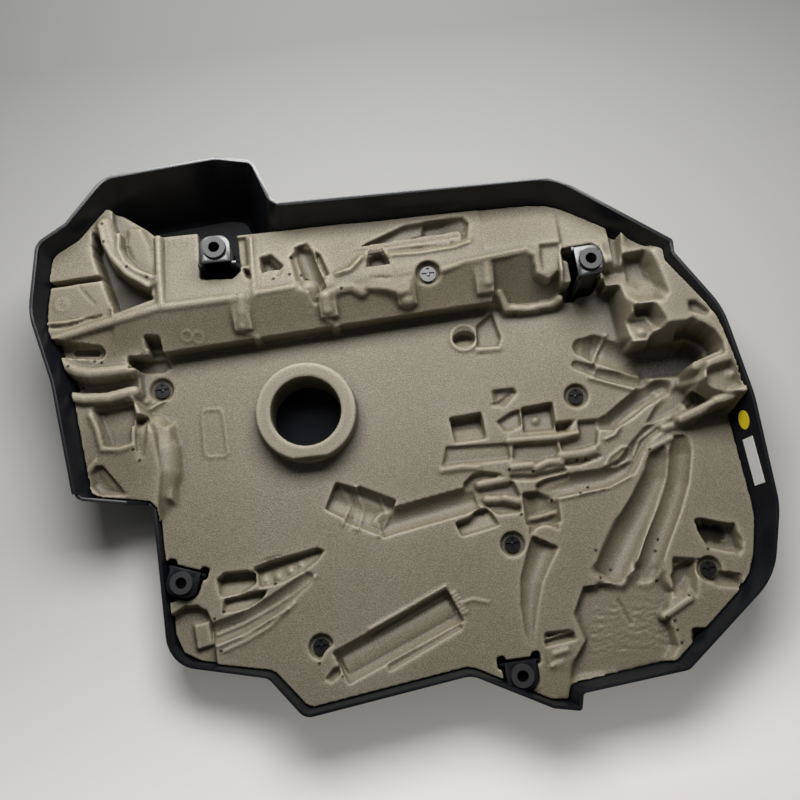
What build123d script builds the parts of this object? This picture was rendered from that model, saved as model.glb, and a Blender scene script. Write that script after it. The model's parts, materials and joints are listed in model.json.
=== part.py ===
from build123d import *
from math import hypot, sqrt
import os

os.makedirs("parts", exist_ok=True)

# Driving sizes in millimetres
# Shell
wall = 2.8
edge_bevel = 6.0
rim_mid = 73.0
rim_slope = 0.08
groove_depth = 1.2
# Liner heights above the outer face
liner_top = 27.0
band_crest = 67.0
band_sill = 48.0
band_lip = 31.0
band_back = 55.0
left_crest = 63.0
left_block_back = 51.0
left_block_front = 40.0
left_lobe_low = 60.0
left_lobe_high = 64.0
hump_top = 70.0
right_block_top = 71.0
saddle_top = 53.0
collar_rise = 22.0
liner_gap = 0.8
narrow_channel = 15.0
# Filler collar
collar_centre = (-84.5, -2.0)
collar_radius = 45.5
collar_bore = 31.5
collar_flat = 42.0
# Pedestals and grommets
pedestal_half = 13.4
pedestal_front = 12.6
pedestal_back = 11.8
pedestal_corner = 9.5
pedestal_wall = 2.4
plate_thickness = 3.0
ear_width = 3.5
ear_drop = 8.0
pedestal_clear = 2.0
high_plate = 83.0
low_plate = 34.0
grommet_radius = 10.5
grommet_bore = 5.0
grommet_neck = 7.4
neck_clear = 0.15
grommet_flange = 4.0
grommet_foot = 6.0
# Push clips
clip_radius = 7.2
clip_thickness = 2.0
clip_rise = 1.6
clip_edge = 1.4
clip_bar = 2.8
pin_radius = 2.0
pin_clear = 0.12
clip_dish = 12.0
clip_dish_depth = 6.0
pin_hole = 3.4
# Label and dot
label_length = 42.0
label_width = 17.0
dot_radius = 8.5
sticker_thickness = 0.4

sky = 110.0

# Rim outline going clockwise from the left: x, y, corner radius, flare of the side that follows
rim_outline = [
    (-316, 108, 60, 18),
    (-305, 168, 16, 18),
    (-280, 182, 8, 18),
    (-242, 222, 28, 20),
    (-141, 230, 40, 20),
    (-108, 223, 12, 20),
    (-93, 181, 14, 25),
    (158, 179, 60, 25),
    (257, 110, 5, 24),
    (257, 96, 5, 24),
    (291, 46, 70, 14),
    (306, -27, 90, 13),
    (314, -130, 70, 10),
    (300, -192, 60, 8),
    (216, -261, 10, 8),
    (124, -270, 3, 7),
    (121, -284, 3, 6),
    (97, -279, 8, 6),
    (33, -245, 20, 6),
    (-109, -264, 12, 5),
    (-137, -229, 12, 6),
    (-224, -210, 30, 4),
    (-229, -74, 6, 10),
    (-289, -62, 10, 16),
    (-298, 29, 60, 18),
]


# Corner points of the outline at height z, moved in evenly by inset
def level_corners(z, inset):
    count = len(rim_outline)
    lines = []
    for i in range(count):
        x0, y0, radius, flare = rim_outline[i]
        x1, y1 = rim_outline[(i + 1) % count][:2]
        rim_z = rim_mid + rim_slope * (y0 + y1) / 2
        shift = flare * (1 - z / rim_z) + inset + max(0.0, edge_bevel - z)
        length = hypot(x1 - x0, y1 - y0)
        ux = (x1 - x0) / length
        uy = (y1 - y0) / length
        lines.append((x0 + uy * shift, y0 - ux * shift, ux, uy))
    corners = []
    for i in range(count):
        ax, ay, aux, auy = lines[i - 1]
        bx, by, bux, buy = lines[i]
        cross = aux * buy - auy * bux
        t = ((bx - ax) * buy - (by - ay) * bux) / cross
        corners.append((ax + aux * t, ay + auy * t, cross))
    return corners


# Face bounded by straight sides and round corners, or by corners of a few chords that stay inside the arc
def level_face(z, inset, chords):
    corners = level_corners(z, inset)
    count = len(corners)
    edges = []
    ends = []
    for i in range(count):
        px, py, cross = corners[i]
        qx, qy = corners[i - 1][:2]
        nx, ny = corners[(i + 1) % count][:2]
        before = hypot(px - qx, py - qy)
        after = hypot(nx - px, ny - py)
        ux, uy = (px - qx) / before, (py - qy) / before
        vx, vy = (nx - px) / after, (ny - py) / after
        radius = rim_outline[i][2]
        radius = max(1.0, radius - inset) if cross < 0 else radius + inset
        turn = ux * vx + uy * vy
        half_tan = sqrt((1 - turn) / (1 + turn))
        half_cos = sqrt((1 + turn) / 2)
        step = radius * half_tan
        bx, by = vx - ux, vy - uy
        size = hypot(bx, by)
        bx, by = bx / size, by / size
        reach = radius / half_cos - radius
        cut = step / (1 + 1 / half_cos)
        entry = (px - ux * step, py - uy * step)
        middle = (px + bx * reach, py + by * reach)
        leave = (px + vx * step, py + vy * step)
        ends.append((entry, leave))
        if not chords:
            edges.append(ThreePointArc(entry, middle, leave))
        elif cross < 0:
            edges.append(Polyline(entry, middle, leave))
        else:
            before_cut = (entry[0] + ux * cut, entry[1] + uy * cut)
            after_cut = (leave[0] - vx * cut, leave[1] - vy * cut)
            edges.append(Polyline(entry, before_cut, after_cut, leave))
    for i in range(count):
        edges.append(Line(ends[i][1], ends[(i + 1) % count][0]))
    return Pos(0, 0, z) * make_face(edges)


# Solid inside the flared sides between two heights
def between_sides(low, high, inset, chords=False):
    levels = [low, high]
    if low < edge_bevel < high:
        levels = [low, edge_bevel, high]
    return loft([level_face(z, inset, chords) for z in levels], ruled=True)


# Plane on the inner face of one skirt side, looking into the tray
def side_plane(index, share, z):
    low = level_corners(z, wall)
    high = level_corners(z + 10, wall)
    after = (index + 1) % len(low)
    start = Vector(low[index][0], low[index][1], z)
    end = Vector(low[after][0], low[after][1], z)
    along = (end - start).normalized()
    up_point = Vector(high[index][0], high[index][1], z + 10)
    normal = along.cross(up_point - start).normalized()
    return Plane(start + (end - start) * share, x_dir=along, z_dir=normal)


def polygon(points, z):
    return Pos(0, 0, z) * make_face(Polyline(*points, close=True))


# Raised block with drafted sides
def block(points, high, draft, low=wall):
    return extrude(polygon(points, low), high - low, taper=draft)


# Flat-sided solid between two like outlines
def frustum(low, low_z, high, high_z):
    bottom = [(x, y, low_z) for x, y in low]
    top = [(x, y, high_z) for x, y in high]
    rings = [bottom, top]
    for i in range(len(low)):
        j = (i + 1) % len(low)
        rings.append([bottom[i], bottom[j], top[j], top[i]])
    return Solid(Shell([Face(Wire.make_polygon(ring)) for ring in rings]))


# Hollow with its opening at height top: the floor is a smaller copy, set toward the back by lean
def pocket(points, top, depth, slope=0.55, lean=0.8):
    xs = [x for x, y in points]
    ys = [y for x, y in points]
    mid_x = (min(xs) + max(xs)) / 2
    mid_y = (min(ys) + max(ys)) / 2
    half = min(max(xs) - min(xs), max(ys) - min(ys)) / 2
    run = min(slope * depth, 0.62 * half)

    def level(z):
        share = 1 - run / half * (top - z) / depth
        shift = lean * run * (top - z) / depth
        return [(mid_x + (x - mid_x) * share, mid_y + (y - mid_y) * share + shift) for x, y in points]

    floor = top - depth
    return frustum(level(floor), floor, level(top + 1), top + 1)


# Channel along a path, open above: round floor, or a few flats where it is narrow
def channel(points, radius, axis, bend, rise=14.0):
    if len(points) == 2:
        path = Line(*points)
    else:
        path = FilletPolyline(*points, radius=bend)
    path = Pos(0, 0, axis) * path
    ahead = path % 0
    section = Plane(path @ 0, x_dir=(-ahead.Y, ahead.X, 0), z_dir=ahead)
    sides = Polyline((radius, 0), (radius, rise), (-radius, rise), (-radius, 0))
    if radius > narrow_channel:
        floor = ThreePointArc((-radius, 0), (0, -radius), (radius, 0))
    else:
        flank = radius * sqrt(0.5)
        floor = Polyline((-radius, 0), (-flank, -flank), (0, -radius), (flank, -flank), (radius, 0))
    return sweep(section * make_face([sides, floor]), path=path)


# Upright post or hole with flats
def post(x, y, low, radius, height, flats=8, taper=0):
    return Pos(x, y, low) * extrude(RegularPolygon(radius, flats), height, taper=taper)


# Bar with a given side profile (y, z) from x0 to x1
def bar(profile, x0, x1):
    face = Plane.YZ * make_face(Polyline(*profile, close=True))
    return Pos(x0, 0, 0) * extrude(face, x1 - x0)


# Solid turned about an upright axis
def turned(solid, x, y, angle):
    return Pos(x, y, 0) * Rot(0, 0, angle) * Pos(-x, -y, 0) * solid


# Height of the left block along its length
def left_top(y):
    return left_block_back + (left_block_back - left_block_front) * (y - 66) / 156


# Pedestal positions: x, y, turn of the open side from -Y, plate height
pedestals = {
    "back_left": (-149, 146, 0, high_plate),
    "back_right": (181, 98, -87, high_plate),
    "front_left": (-207, -140, 160, low_plate),
    "front_right": (77, -251, 182, low_plate),
}

# Clip positions: x, y, height of the liner around it
clip_points = {
    "back": (38, 108, band_crest - 2),
    "left": (-215, 37, liner_top),
    "right": (161, -11, liner_top),
    "centre": (85, -138, liner_top),
    "front_right": (254, -179, liner_top),
    "front": (-92, -207, liner_top),
}


# Plate outline around the grommet axis: round corners at the back, straight edge in front
def plate_face(grow):
    width = 2 * (pedestal_half + grow)
    depth = pedestal_front + pedestal_back + 2 * grow
    face = Pos(0, (pedestal_back - pedestal_front) / 2) * Rectangle(width, depth)
    return fillet(face.vertices().group_by(Axis.Y)[-1], pedestal_corner + grow)


# One moulded pedestal, open in front below the plate, with a hole that takes the grommet neck
def pedestal(plate):
    tower = extrude(Pos(0, 0, wall / 2) * plate_face(0), plate - wall / 2)
    room_height = plate - plate_thickness - wall
    tower -= extrude(Pos(0, 0, wall) * plate_face(-pedestal_wall), room_height)
    front = Box(2 * (pedestal_half - pedestal_wall), 2 * pedestal_wall, room_height,
                align=(Align.CENTER, Align.CENTER, Align.MIN))
    tower -= Pos(0, -pedestal_front, wall) * front
    tower -= Pos(0, 0, wall) * extrude(Circle(grommet_neck + neck_clear), plate)
    height = plate - ear_drop - wall / 2
    for side in (-1, 1):
        x = side * (pedestal_half + ear_width / 2 - 0.5)
        ear = Box(ear_width + 1, pedestal_wall, height, align=(Align.CENTER, Align.MIN, Align.MIN))
        tower += Pos(x, -pedestal_front, wall / 2) * ear
    return tower


# Room in the liner around a pedestal, with a notch for each ear
def pedestal_yard():
    yard = extrude(Pos(0, 0, wall) * plate_face(pedestal_clear), sky)
    for side in (-1, 1):
        x = side * (pedestal_half + ear_width / 2)
        notch = Box(ear_width + 2 * pedestal_clear, 11, sky, align=(Align.CENTER, Align.CENTER, Align.MIN))
        yard += Pos(x, -pedestal_front - 0.5, wall) * notch
    return yard


def placed(solid, spot):
    x, y, turn = spot[:3]
    return Pos(x, y, 0) * Rot(0, 0, turn) * solid


# Cover shell
outer = between_sides(0, sky, 0)
hollow = between_sides(wall, sky, wall)
rim_plane = Plane((0, 0, rim_mid), x_dir=(1, 0, 0), z_dir=(0, -rim_slope, 1))
above_rim = rim_plane * Box(900, 900, 200, align=(Align.CENTER, Align.CENTER, Align.MIN))
shell = outer - hollow - above_rim
# The rim drops toward the front-left corner
dip = [(-297, 66), (-245, 58), (-230, 38), (-222, 36), (-110, 53), (-110, 120), (-297, 120)]
shell -= Pos(0, -57, 0) * extrude(Plane.XZ * make_face(Polyline(*dip, close=True)), 250)
for spot in pedestals.values():
    shell += placed(pedestal(spot[3]), spot) & outer
for x, y, top in clip_points.values():
    height = top - clip_dish_depth + clip_thickness - wall / 2
    shell += post(x, y, wall / 2, pin_radius, height)

# Styling on the outer face: a bare field and two grooves
for x, y, length, width in ((0, -20, 300, 70), (0, 70, 380, 6), (0, -120, 380, 6)):
    shell -= Pos(x, y, 0) * extrude(RectangleRounded(length, width, width * 0.45), groove_depth)

# Foam liner
room = between_sides(wall, sky, wall + liner_gap, True)
liner = between_sides(wall, liner_top, wall + liner_gap, True)
blocks = []

# Band along the back: x from, x to, sill y, sill height, crest y, turn
band_runs = [
    (-246, 95, 74, band_sill, 106, 2.75),
    (92, 160, 79, band_lip, 117, 0),
    (157, 206, 80, 60, 90, 2),
]
for x0, x1, sill, sill_z, crest, turn in band_runs:
    profile = [(sill, wall), (sill, sill_z), (crest, band_crest), (crest + 8, band_crest)]
    profile += [(170, band_back), (260, band_back), (260, wall)]
    blocks.append(turned(bar(profile, x0, x1), -43, sill, turn))

# Ribs that stand between the panels on the front of the band: x from, x to
for x0, x1 in ((-140, -124), (-62, -46), (9, 26), (81, 97)):
    profile = [(80, band_sill), (80, 57), (89, 62), (108, band_crest), (108, band_sill)]
    blocks.append(turned(bar(profile, x0, x1), -43, 74, 2.75))

# Left block, its lobes and the hump
left_plan = [
    (-340, -90), (-222, -90), (-212, -40), (-216, -3), (-230, 26), (-230, 52), (-218, 66), (-202, 80),
    (-202, 112), (-340, 112),
]
left_side = [(-95, wall), (-95, left_top(-95)), (66, left_top(66))]
left_side += [(95, left_crest), (120, left_crest), (120, wall)]
left_bar = turned(bar(left_side, -350, -150), -255, 95, 7)
blocks.append(block(left_plan, left_crest + 2, 16, liner_top - 2) & left_bar)
blocks.append(block([(-340, 92), (-240, 101), (-240, 139), (-340, 134)], left_lobe_low, 3, liner_top - 2))
blocks.append(block([(-340, 134), (-240, 139), (-240, 260), (-340, 260)], left_lobe_high, 3, liner_top - 2))
blocks.append(block([
    (-276, 136), (-276, 260), (-240, 260), (-196, 200), (-192, 92), (-262, 86),
], hump_top, 8, liner_top - 2))

# Low saddle that joins the band to the right block
blocks.append(block([(198, 200), (198, 82), (222, 82), (222, 200)], saddle_top, 0, liner_top - 2))

# Right block, with a nose that reaches forward along the wall
blocks.append(block([
    (204, 200), (204, 70), (207, 32), (214, 24), (258, 24), (258, -6), (252, -20), (270, -34), (296, -46),
    (360, -46), (360, 200),
], right_block_top, 16, liner_top - 2))

# Soft swelling beside the left block
blocks.append(block([
    (-236, -66), (-206, -72), (-200, -30), (-204, 6), (-222, 6),
], liner_top + 9, 30, liner_top - 2))

# Low ridge and raised pads of the centre group
blocks.append(block([(94, -43), (156, -43), (156, -54), (94, -54)], liner_top + 5, 20, liner_top - 2))

# Collar with a flat toward the front, above a round foot
cx, cy = collar_centre
collar = Pos(cx, cy, wall) * extrude(Circle(collar_radius), liner_top + collar_rise - wall, taper=1)
collar_front = Box(200, 100, 100, align=(Align.CENTER, Align.MAX, Align.MIN))
collar -= Pos(cx, cy - collar_flat, liner_top + collar_rise / 2) * collar_front
blocks.append(collar)

for piece in blocks:
    liner += piece & room

cuts = []

# Bare areas: the back-left lobe of the shell and the room around each pedestal
cuts.append(block([
    (-262, 260), (-254, 206), (-234, 198), (-214, 183), (-205, 174), (-160, 174), (-160, 260),
], sky, 0))
cuts.append(block([
    (-167, 260), (-167, 126), (-138, 123), (-130, 130), (-132, 168), (-84, 168), (-84, 260),
], sky, 0))
cuts.append(block([
    (159, 86), (164, 84), (196, 86), (198, 98), (195, 115), (189, 120), (160, 118),
], sky, 0, 58))
for name in ("back_right", "front_left", "front_right"):
    cuts.append(placed(pedestal_yard(), pedestals[name]))
cuts.append(block([(-240, -117), (-211, -120), (-214, -155), (-240, -152)], sky, 0))

# Filler opening
cuts.append(Pos(cx, cy, 0) * extrude(Circle(collar_bore), sky))

# Hollows on top of the band
cuts.append(pocket([(-113, 142), (-102, 146), (-90, 130), (-101, 119), (-111, 119)], 62, 9, 0.4, 0.2))
cuts.append(pocket([(-52, 129), (23, 160), (79, 164), (78, 136), (4, 134)], 60, 9, 0.7, 0.2))
cuts.append(pocket([(-13, 136), (0, 136), (10, 109), (-20, 109)], 64, 10, 0.4, 0.6))
cuts.append(channel([(-74, 150), (-60, 94)], 8, band_crest - 6, 10))

# Hollows of the hump and the left lobes
cuts.append(pocket([
    (-264, 172), (-255, 172), (-246, 160), (-229, 138), (-211, 127), (-209, 118), (-246, 106),
], hump_top, 38, 0.12, 0.2))
cuts.append(channel([(-241, 190), (-224, 158), (-209, 134)], 10, hump_top + 3, 30))
cuts.append(pocket([(-294, 79), (-259, 75), (-259, 66), (-294, 70)], left_crest, 24, 0.1))
cuts.append(block([(-220, 79), (-208, 79), (-207, 60), (-220, 60)], sky, 0, liner_top))
cuts.append(block([(-239, 66), (-211, 63), (-209, 53), (-239, 56)], sky, 0, liner_top - 4))
for points, depth, slope, lean in (
    ([(-290, 52), (-236, 47), (-236, 36), (-290, 40)], 11, 0.3, 0.8),
    ([(-275, 28), (-234, 24), (-232, 14), (-275, 17)], 12, 0.3, 0.8),
    ([(-271, 18), (-240, 15), (-242, -19), (-270, -16)], 6, 0.5, 0.8),
    ([(-239, 13), (-223, 12), (-226, 0), (-232, -28), (-239, -28)], 12, 0.2, 0.8),
    ([(-280, -30), (-268, -30), (-246, -62), (-280, -58)], 7, 0.5, 0.8),
):
    middle = sum(y for x, y in points) / len(points)
    cuts.append(pocket(points, left_top(middle) + 2, depth, slope, lean))

# Hollows of the right block
cuts.append(pocket([(213, 132), (236, 125), (241, 112), (218, 108)], right_block_top, 8, 0.8, -0.6))
cuts.append(pocket([
    (211, 108), (238, 110), (244, 92), (250, 62), (224, 54), (208, 62), (206, 88),
], right_block_top, 26, 1.0, 1.0))
cuts.append(pocket([(215, 57), (236, 58), (244, 40), (243, 26), (212, 27)], right_block_top, 26, 0.5, 0.9))
cuts.append(pocket([(263, 54), (272, 54), (283, 42), (280, 38), (263, 44)], right_block_top, 7, 0.5, 0.6))
cuts.append(pocket([
    (254, 30), (262, 37), (274, 34), (284, 25), (289, 14), (289, 3), (266, -3), (254, -3),
], right_block_top, 36, 0.14, 0.3))
cuts.append(pocket([(242, 30), (262, 30), (262, 2), (242, 2)], right_block_top, 36, 0.1, 0.0))

# Hose channels: path, radius, bend radius, how far the axis lies above the base
for points, radius, bend, lift in (
    ([(165, 35), (192, 31), (216, 12), (268, 12)], 11, 18, 0),
    ([(160, 16), (181, 13)], 6, 5, 0),
    ([(240, -10), (209, -21), (186, -42), (181, -62)], 6, 20, 0),
    ([(274, -28), (224, -46), (190, -79), (156, -88)], 10, 30, 0),
    ([(228, -62), (205, -112), (166, -176)], 13, 40, 0),
    ([(260, -45), (247, -78), (234, -115), (199, -172)], 11, 30, 1),
    ([(115, -94), (115, -124)], 16, 5, 2),
    ([(115, -120), (107, -155), (86, -222)], 9, 30, 0),
    ([(-70, -78), (-22, -104)], 18, 5, 0),
    ([(-24, -110), (12, -106), (44, -98)], 11, 40, 0),
    ([(-188, -186), (-150, -176), (-104, -150)], 14, 60, 8),
    ([(-74, -226), (26, -186)], 16, 5, 0),
):
    rise = sky - liner_top if points[0] == (165, 35) else 14.0
    cuts.append(channel(points, radius, liner_top + lift, bend, rise))

# Pockets in the base: outline and depth
for points, depth in (
    ([(77, 74), (102, 74), (102, 37), (76, 36)], 8),
    ([(54, 68), (77, 68), (77, 47), (54, 47)], 6),
    ([(84, 3), (106, 3), (107, -14), (85, -14)], 6),
    ([(44, -16), (73, -16), (73, -41), (44, -41)], 10),
    ([(87, -18), (99, -14), (110, -26), (105, -38), (87, -36)], 7),
    ([(109, -15), (137, -15), (138, -41), (109, -41)], 11),
    ([(140, -36), (179, -36), (178, -70), (139, -70)], 9),
    ([(34, -44), (64, -44), (64, -71), (34, -71)], 5),
    ([(49, -75), (96, -75), (98, -104), (51, -104)], 9),
    ([(34, -103), (74, -103), (75, -126), (34, -127)], 12),
    ([(178, -61), (203, -62), (203, -76), (177, -82)], 8),
    ([(-82, -208), (22, -168), (37, -203), (-75, -243)], 4),
    ([(-94, -227), (-78, -226), (-78, -236), (-94, -237)], 7),
    ([(-178, -139), (-160, -135), (-146, -134), (-143, -147), (-154, -149), (-174, -158)], 13),
    ([(-173, -158), (-142, -150), (-133, -153), (-137, -161), (-164, -170), (-174, -169)], 10),
    ([(-146, -131), (-132, -126), (-84, -121), (-80, -124), (-87, -135), (-119, -151), (-145, -148)], 13),
    ([
        (-222, -168), (-206, -160), (-196, -159), (-186, -168), (-181, -222), (-204, -222), (-232, -196),
    ], 11),
    ([
        (141, -182), (172, -182), (193, -171), (216, -175),
        (212, -246), (122, -257), (136, -230), (129, -205),
    ], 9),
    ([(250, -133), (282, -143), (289, -159), (283, -172), (268, -161), (252, -149)], 18),
    ([(257, -181), (283, -187), (281, -200), (256, -195)], 8),
    ([(223, -165), (246, -169), (240, -203), (218, -201)], 8),
    ([(229, -228), (246, -229), (243, -242), (227, -240)], 9),
    ([(100, -217), (127, -217), (122, -250), (100, -248)], 10),
):
    cuts.append(pocket(points, liner_top, depth))

# Dish and pin hole of each clip
for x, y, top in clip_points.values():
    cuts.append(post(x, y, top - clip_dish_depth, clip_dish - 2, 24, 16, -14))
    cuts.append(post(x, y, 0, pin_hole, sky))

for piece in cuts:
    liner -= piece

# Grommet: flange, neck in the plate, foot below the plate, bore through
grommet = post(0, 0, 0, grommet_radius, grommet_flange, 20, 9)
grommet += post(0, 0, -plate_thickness, grommet_neck, plate_thickness, 20)
grommet += Rot(180, 0, 0) * post(0, 0, plate_thickness, grommet_radius - 1.3, grommet_foot, 20, 12)
grommet -= Pos(0, 0, -20) * extrude(Circle(grommet_bore), 40)

# Push clip: cap with a sunken cross, bore on the pin
clip = post(0, 0, 0, clip_radius, clip_thickness + clip_rise, 16)
arm = 2 * (clip_radius - clip_edge)
for turn in (0, 90):
    slot = Box(arm, clip_bar, clip_rise, align=(Align.CENTER, Align.CENTER, Align.MIN))
    clip -= Pos(0, 0, clip_thickness) * Rot(0, 0, turn) * slot
clip -= post(0, 0, 0, pin_radius + pin_clear, sky)

# Label and dot on the inner face of the right-hand skirt
label_place = side_plane(11, 0.55, 46)
label = label_place * extrude(Rectangle(label_length, label_width), sticker_thickness)
dot_place = side_plane(11, 0.17, 48)
dot = dot_place * extrude(RegularPolygon(dot_radius, 24), sticker_thickness)

# Every piece moves so that the origin lies under the middle of the shell
box = shell.bounding_box()
home = Pos(-(box.min.X + box.max.X) / 2, -(box.min.Y + box.max.Y) / 2, -box.min.Z)

export_step(home * shell, "parts/cover_shell.step")
export_step(home * liner, "parts/foam_liner.step")
for name, (x, y, turn, plate) in pedestals.items():
    export_step(home * Pos(x, y, plate) * grommet, f"parts/grommet_{name}.step")
for name, (x, y, top) in clip_points.items():
    export_step(home * Pos(x, y, top - clip_dish_depth) * clip, f"parts/clip_{name}.step")
export_step(home * label, "parts/part_label.step")
export_step(home * dot, "parts/dot_sticker.step")
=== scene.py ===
import json
from math import cos, pi, radians, sin

import bmesh
import bpy
import numpy as np
from mathutils import Matrix, Vector


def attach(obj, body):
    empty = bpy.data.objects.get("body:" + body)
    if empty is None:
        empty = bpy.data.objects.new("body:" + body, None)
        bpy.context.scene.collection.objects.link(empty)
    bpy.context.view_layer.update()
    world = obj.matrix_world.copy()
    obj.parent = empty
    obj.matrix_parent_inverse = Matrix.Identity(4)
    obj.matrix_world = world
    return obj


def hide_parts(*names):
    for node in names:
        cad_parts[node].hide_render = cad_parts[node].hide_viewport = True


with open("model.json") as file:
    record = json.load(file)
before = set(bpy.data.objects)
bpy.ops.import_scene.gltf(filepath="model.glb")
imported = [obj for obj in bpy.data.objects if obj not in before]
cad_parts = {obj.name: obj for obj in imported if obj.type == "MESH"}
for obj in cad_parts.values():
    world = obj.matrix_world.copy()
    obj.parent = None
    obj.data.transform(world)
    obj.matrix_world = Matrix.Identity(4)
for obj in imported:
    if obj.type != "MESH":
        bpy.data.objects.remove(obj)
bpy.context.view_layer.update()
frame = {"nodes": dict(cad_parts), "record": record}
nodes = frame["nodes"]
scene = bpy.context.scene
print("frame loaded with", len(nodes), "nodes")


def newMaterial(name, color, roughness):
    mat = bpy.data.materials.new(name)
    mat.use_nodes = True
    shader = mat.node_tree.nodes["Principled BSDF"]
    shader.inputs["Base Color"].default_value = (*color, 1)
    shader.inputs["Roughness"].default_value = roughness
    return mat, mat.node_tree, shader


def addNode(tree, kind, **inputs):
    node = tree.nodes.new(kind)
    for key, value in inputs.items():
        node.inputs[key].default_value = value
    return node


# links a socket, or sets a constant on it
def feed(tree, socket, value):
    if isinstance(value, bpy.types.NodeSocket):
        tree.links.new(value, socket)
    else:
        socket.default_value = value


def addMath(tree, operation, first, second):
    node = tree.nodes.new("ShaderNodeMath")
    node.operation = operation
    for socket, value in zip(node.inputs, (first, second)):
        feed(tree, socket, value)
    return node.outputs[0]


def addMix(tree, factor, first, second, blend="MIX"):
    mix = tree.nodes.new("ShaderNodeMix")
    mix.data_type = "RGBA"
    mix.blend_type = blend
    for key, value in (("Factor", factor), ("A", first), ("B", second)):
        feed(tree, mix.inputs[key], value)
    return mix.outputs["Result"]


# stops are a place and a colour each, in order
def addRamp(tree, factor, *stops):
    ramp = tree.nodes.new("ShaderNodeValToRGB")
    elements = ramp.color_ramp.elements
    for element, (place, color) in zip(elements, (stops[0], stops[-1])):
        element.position = place
        element.color = (*color, 1)
    for place, color in stops[1:-1]:
        elements.new(place).color = (*color, 1)
    tree.links.new(factor, ramp.inputs["Fac"])
    return ramp.outputs["Color"]


def addRange(tree, value, start, end, first=0.0, last=1.0):
    node = addNode(tree, "ShaderNodeMapRange", **{
        "From Min": start, "From Max": end, "To Min": first, "To Max": last,
    })
    tree.links.new(value, node.inputs["Value"])
    return node.outputs["Result"]


def objectPlace(tree):
    return tree.nodes.new("ShaderNodeTexCoord").outputs["Object"]


def addNoise(tree, scale, detail, roughness):
    noise = addNode(tree, "ShaderNodeTexNoise", Scale=scale, Detail=detail, Roughness=roughness)
    tree.links.new(objectPlace(tree), noise.inputs["Vector"])
    return noise.outputs["Fac"]


def addBump(tree, shader, height, strength, depth):
    bump = addNode(tree, "ShaderNodeBump", Strength=strength, Distance=depth)
    tree.links.new(height, bump.inputs["Height"])
    tree.links.new(bump.outputs["Normal"], shader.inputs["Normal"])


def oneAxis(tree, vector, axis):
    apart = tree.nodes.new("ShaderNodeSeparateXYZ")
    tree.links.new(vector, apart.inputs["Vector"])
    return apart.outputs[axis]


def readMark(tree, name):
    mark = tree.nodes.new("ShaderNodeAttribute")
    mark.attribute_name = name
    return mark.outputs["Fac"]


def giveMaterial(obj, mat):
    obj.data.materials.clear()
    obj.data.materials.append(mat)


def bakeModifiers(obj):
    graph = bpy.context.evaluated_depsgraph_get()
    mesh = bpy.data.meshes.new_from_object(obj.evaluated_get(graph))
    obj.modifiers.clear()
    obj.data = mesh


# foam skin: taupe, finely speckled; paler on edges and crests, partly rubbed wear and partly painted highlight; painted
# shade darkens creases and hollows
foamSkin = {
    "dark": (0.030, 0.026, 0.020),
    "mid": (0.200, 0.177, 0.121),
    "pale": (0.420, 0.380, 0.295),
    # painted shade: the near-black colour that hollows blend toward, and how far
    "paintedShade": (0.040, 0.036, 0.028),
    "paintedShadeShare": 0.70,
    "stain": (0.90, 0.86, 0.76),
    "stainFrom": 0.35,
    "stainTo": 0.80,
    "cloudScale": 11.0,
    "speckleScale": 900.0,
    "bumpStrength": 0.5,
    "bumpDepth": 0.0006,
    "roughness": 0.50,
    "sheen": 0.6,
    "leastSheen": 0.05,
}


def foamMaterial():
    mat, tree, shader = newMaterial("foamSkin", foamSkin["mid"], foamSkin["roughness"])
    speckle = addNoise(tree, foamSkin["speckleScale"], 2.0, 0.6)
    cloud = addNoise(tree, foamSkin["cloudScale"], 3.0, 0.55)
    rubAndPaintedLight, pit, hollow = [readMark(tree, name) for name in ("rubAndPaintedLight", "pit", "hollow")]
    middle = 0.5
    grain = addMath(tree, "SUBTRACT", speckle, middle)
    # painted light with rubbed wear: edges, crests and slopes facing the back lift toward pale, creases drop toward
    # dark
    tone = addMath(tree, "ADD", addMath(tree, "ADD", grain, rubAndPaintedLight), middle)
    tone = addMath(tree, "SUBTRACT", tone, pit)
    color = addRamp(tree, tone, (0.0, foamSkin["dark"]), (middle, foamSkin["mid"]), (1.0, foamSkin["pale"]))
    clean = (1.0, 1.0, 1.0)
    stain = addRamp(tree, cloud, (foamSkin["stainFrom"], clean), (foamSkin["stainTo"], foamSkin["stain"]))
    color = addMix(tree, 1.0, color, stain, "MULTIPLY")
    # painted shade: hollows blend toward the near-black colour by the hollow mark
    hollowShade = addMath(tree, "MULTIPLY", hollow, foamSkin["paintedShadeShare"])
    color = addMix(tree, hollowShade, color, (*foamSkin["paintedShade"], 1))
    tree.links.new(color, shader.inputs["Base Color"])
    # pinholes don't shine
    clear = addMath(tree, "MAXIMUM", addMath(tree, "SUBTRACT", 1.0, pit), foamSkin["leastSheen"])
    tree.links.new(addMath(tree, "MULTIPLY", clear, foamSkin["sheen"]), shader.inputs["Specular IOR Level"])
    addBump(tree, shader, speckle, foamSkin["bumpStrength"], foamSkin["bumpDepth"])
    return mat


# clay: the foam's points in millimetres about the mould's own zero, with how freely each may move up and down
clay = {}
mould = {
    "mergeGap": 0.00002,
    "voxel": 0.0012,
    "softRounds": 2,
    "softShare": 0.5,
    "zero": (0.927, 26.846),
    "base": 27.0,  # height of the plain ground
    "lowest": 5.5,  # nothing is moved below this
    "looseBy": 8.0,  # points move fully from this far above the lowest
    "skin": 4.0,  # least thickness over the underside
    "cell": 2.0,  # squares of the grids
    "upward": 0.15,  # the next four sort points by the z of their normal
    "upright": 0.5,
    "leaning": -0.05,
    "downward": -0.3,
}
farAway = 1e9


def ease(share):
    share = np.clip(share, 0, 1)
    return share * share * (3 - 2 * share)


def nearby(points, reach):
    pts = np.array([p[:2] for p in points], float)
    low, high = pts.min(0) - reach, pts.max(0) + reach
    x, y = clay["x"], clay["y"]
    return np.flatnonzero((x > low[0]) & (x < high[0]) & (y > low[1]) & (y < high[1]))


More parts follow.
